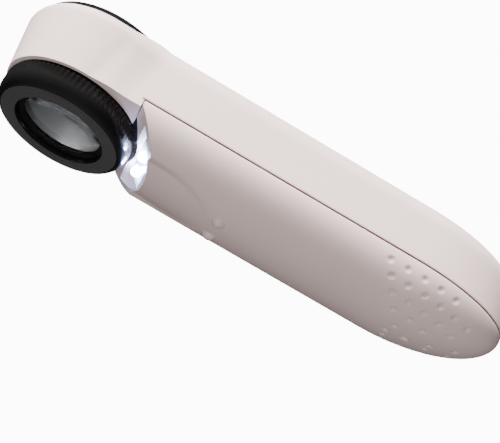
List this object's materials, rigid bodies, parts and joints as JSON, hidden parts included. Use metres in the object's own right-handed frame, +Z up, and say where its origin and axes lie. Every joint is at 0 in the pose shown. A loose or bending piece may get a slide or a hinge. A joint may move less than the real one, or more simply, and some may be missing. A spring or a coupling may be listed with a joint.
{
  "type": "illuminated hand magnifier",
  "caption": "Hand-held low vision magnifier with a round lens head, a knurled focus ring, lamps beside the lens and a long handle that holds the cells.",
  "frame": {"origin": "centre of the focus ring's front face, on the lens axis", "axes": "+Z up the lens axis from the object to the eye, +X along the handle towards its tail, +Y across"},
  "size_m": [0.153, 0.044, 0.0344],
  "materials": {
    "white_plastic": "satin moulded ABS, warm white",
    "grey_plastic": "satin",
    "black_plastic": "semi-gloss black",
    "black_ring": "gloss side, matt front face",
    "black_matt": "matt anti-glare black",
    "lens_glass": "polished optical glass",
    "led_clear": "clear epoxy, lit cold white",
    "reflector_white": "glossy white",
    "circuit_board": "green solder mask",
    "nickel": "nickel-plated",
    "resistor_body": "lacquered",
    "tray_plastic": "moulded",
    "cell_sleeve": "printed sleeve, plain",
    "red_insulation": "pvc",
    "black_insulation": "pvc",
    "foam": "open foam",
    "screw_steel": "zinc-plated"
  },
  "bodies": {
    "housing": {"upper_housing": "white_plastic", "lower_housing": "white_plastic", "eyepiece_cap": "black_plastic", "thread_collar": "black_plastic", "led_left": "led_clear", "led_right": "led_clear", "led_board": "circuit_board", "led_holder": "reflector_white", "slide_switch": "nickel", "switch_board": "circuit_board", "resistor": "resistor_body", "battery_tray": "tray_plastic", "cell_left": "cell_sleeve", "cell_right": "cell_sleeve", "spring_front": "nickel", "spring_rear": "nickel", "contact_positive": "nickel", "contact_negative": "nickel", "contact_bridge": "nickel", "red_wire": "red_insulation", "black_wire": "black_insulation", "lamp_wires": "red_insulation", "housing_screws": "screw_steel"},
    "barrel": {"lens_barrel": "black_matt", "objective_lens": "lens_glass", "lens_spacer": "black_matt", "eye_lens": "lens_glass", "retaining_ring": "black_matt"},
    "ring": {"focus_ring": "black_ring"},
    "knob": {"switch_knob": "grey_plastic", "switch_lever": "black_matt"},
    "door": {"battery_door": "white_plastic", "door_pad": "foam"}
  },
  "joints": [
    {"name": "barrel_slide", "type": "slide", "parent": "housing", "child": "barrel", "axis": [0, 0, -1], "range_m": [0, 0.003]},
    {"name": "focus_turn", "type": "hinge", "parent": "barrel", "child": "ring", "pos_m": [0, 0, 0], "axis": [0, 0, -1], "range_deg": [0, 270]},
    {"name": "switch_slide", "type": "slide", "parent": "housing", "child": "knob", "axis": [1, 0, 0], "range_m": [0, 0.003]},
    {"name": "door_hinge", "type": "hinge", "parent": "housing", "child": "door", "pos_m": [0.10315, 0, 0.02815], "axis": [0, 1, 0], "range_deg": [0, 100]}
  ],
  "couplings": [
    {"joint": "focus_turn", "follows": "barrel_slide", "rad_per_m": 1570.8}
  ]
}
